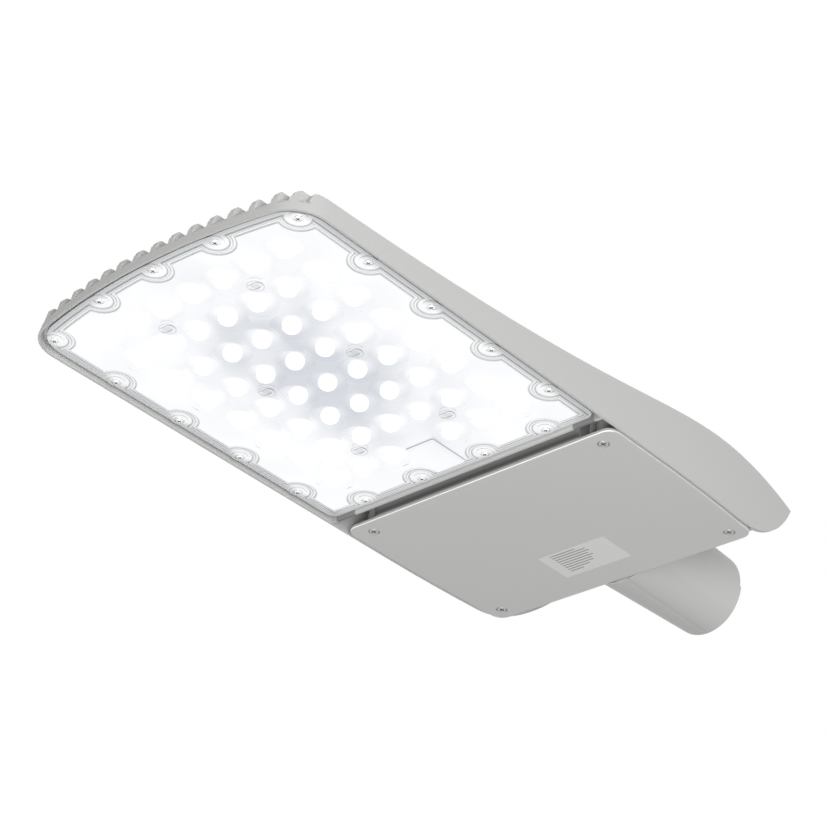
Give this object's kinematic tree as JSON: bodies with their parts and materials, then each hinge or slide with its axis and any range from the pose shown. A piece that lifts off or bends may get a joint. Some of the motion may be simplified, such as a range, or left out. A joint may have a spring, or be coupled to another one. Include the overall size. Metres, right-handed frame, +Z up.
{
  "type": "LED street light head",
  "caption": "Ribbed cast street light head with a moulded LED lens plate, a screwed driver cover and a clamping socket for a lamp pole.",
  "frame": {"origin": "centre of the pole socket's mouth, on the socket's axis", "axes": "+X from the socket along the head to its front, +Z up with the lens facing down, +Y to the left seen from above with the front ahead"},
  "size_m": [0.6791, 0.29, 0.0861],
  "materials": {
    "powder_coat": "fine satin powder coat on cast aluminium",
    "lens_plastic": "moulded, slightly milky",
    "seal_rubber": "matt",
    "screw_steel": "plain",
    "board_mask": "white solder mask",
    "led_face": "phosphor",
    "plug_nylon": "moulded",
    "tray_steel": "zinc plated sheet",
    "driver_case": "plain",
    "protector_case": "moulded"
  },
  "bodies": {
    "root": {"housing": "powder_coat", "lens_plate": "lens_plastic", "lens_gasket": "seal_rubber", "lens_screws": "screw_steel", "led_board_front": "board_mask", "led_board_middle": "board_mask", "led_board_rear": "board_mask", "leds_front": "led_face", "leds_middle": "led_face", "leds_rear": "led_face", "board_screws": "screw_steel", "board_connector": "plug_nylon", "driver_cover": "powder_coat", "cover_gasket": "seal_rubber", "cover_screws": "screw_steel", "gear_tray": "tray_steel", "tray_screws": "screw_steel", "led_driver": "driver_case", "terminal_block": "plug_nylon", "surge_protector": "protector_case", "gear_screws": "screw_steel", "cable_grommet": "seal_rubber", "breather_vent": "plug_nylon", "pole_set_screws": "screw_steel"}
  },
  "joints": []
}
